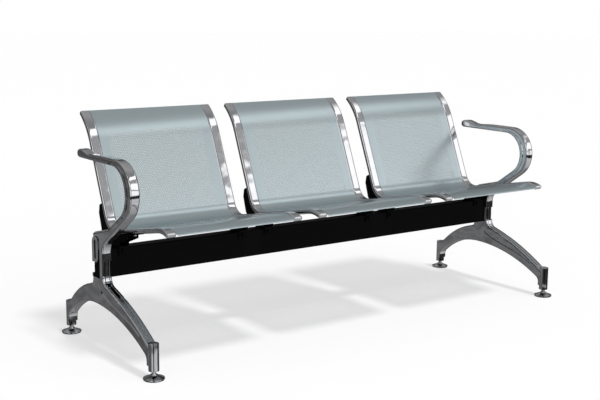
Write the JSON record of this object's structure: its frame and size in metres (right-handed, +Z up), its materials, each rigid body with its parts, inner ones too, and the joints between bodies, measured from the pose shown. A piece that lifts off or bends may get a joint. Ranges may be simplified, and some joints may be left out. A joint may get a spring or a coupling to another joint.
{
  "type": "beam seating",
  "caption": "Waiting-room bench: curved sheet seats in bright side trims on one black beam, with cast arched legs, looped arms and levelling feet.",
  "frame": {"origin": "on the floor, at the centre of the rectangle that the four feet make", "axes": "+X along the beam to the sitter's left, -Y to the side that people sit on, +Z up"},
  "size_m": [1.832, 0.668, 0.7786],
  "materials": {
    "beam_black": "black powder coat, fine texture, half gloss",
    "bracket_black": "black powder coat, half gloss",
    "cap_black": "moulded, matt",
    "seat_silver": "silver blue-grey powder coat, glossy",
    "trim_bright": "bright plated, polished",
    "casting_bright": "bright plated casting, polished",
    "foot_bright": "bright plated",
    "foot_rubber": "matt",
    "fastener_steel": "zinc plated"
  },
  "bodies": {
    "frame": {"arm_left": "casting_bright", "arm_right": "casting_bright", "beam": "beam_black", "beam_cap_left": "cap_black", "beam_cap_right": "cap_black", "bracket_bolts": "fastener_steel", "bracket_nuts": "fastener_steel", "leg_bolts_left": "fastener_steel", "leg_bolts_right": "fastener_steel", "leg_left": "casting_bright", "leg_right": "casting_bright", "pan_bolts": "fastener_steel", "pan_nuts": "fastener_steel", "saddle_bolts": "fastener_steel", "saddle_nuts": "fastener_steel", "seat_1_bracket_left": "bracket_black", "seat_1_bracket_right": "bracket_black", "seat_1_saddle_left": "bracket_black", "seat_1_saddle_right": "bracket_black", "seat_1_sheet": "seat_silver", "seat_1_trim_left": "trim_bright", "seat_1_trim_right": "trim_bright", "seat_2_bracket_left": "bracket_black", "seat_2_bracket_right": "bracket_black", "seat_2_saddle_left": "bracket_black", "seat_2_saddle_right": "bracket_black", "seat_2_sheet": "seat_silver", "seat_2_trim_left": "trim_bright", "seat_2_trim_right": "trim_bright", "seat_3_bracket_left": "bracket_black", "seat_3_bracket_right": "bracket_black", "seat_3_saddle_left": "bracket_black", "seat_3_saddle_right": "bracket_black", "seat_3_sheet": "seat_silver", "seat_3_trim_left": "trim_bright", "seat_3_trim_right": "trim_bright", "trim_screws": "fastener_steel"},
    "foot_front_left": {"foot_front_left_stud": "fastener_steel", "foot_front_left_disc": "foot_bright", "foot_front_left_pad": "foot_rubber"},
    "foot_front_right": {"foot_front_right_stud": "fastener_steel", "foot_front_right_disc": "foot_bright", "foot_front_right_pad": "foot_rubber"},
    "foot_rear_left": {"foot_rear_left_stud": "fastener_steel", "foot_rear_left_disc": "foot_bright", "foot_rear_left_pad": "foot_rubber"},
    "foot_rear_right": {"foot_rear_right_stud": "fastener_steel", "foot_rear_right_disc": "foot_bright", "foot_rear_right_pad": "foot_rubber"}
  },
  "joints": [
    {"name": "foot_front_left_screw", "type": "slide", "parent": "frame", "child": "foot_front_left", "axis": [0, 0, -1], "range_m": [-0.004, 0.018]},
    {"name": "foot_front_right_screw", "type": "slide", "parent": "frame", "child": "foot_front_right", "axis": [0, 0, -1], "range_m": [-0.004, 0.018]},
    {"name": "foot_rear_left_screw", "type": "slide", "parent": "frame", "child": "foot_rear_left", "axis": [0, 0, -1], "range_m": [-0.004, 0.018]},
    {"name": "foot_rear_right_screw", "type": "slide", "parent": "frame", "child": "foot_rear_right", "axis": [0, 0, -1], "range_m": [-0.004, 0.018]}
  ]
}
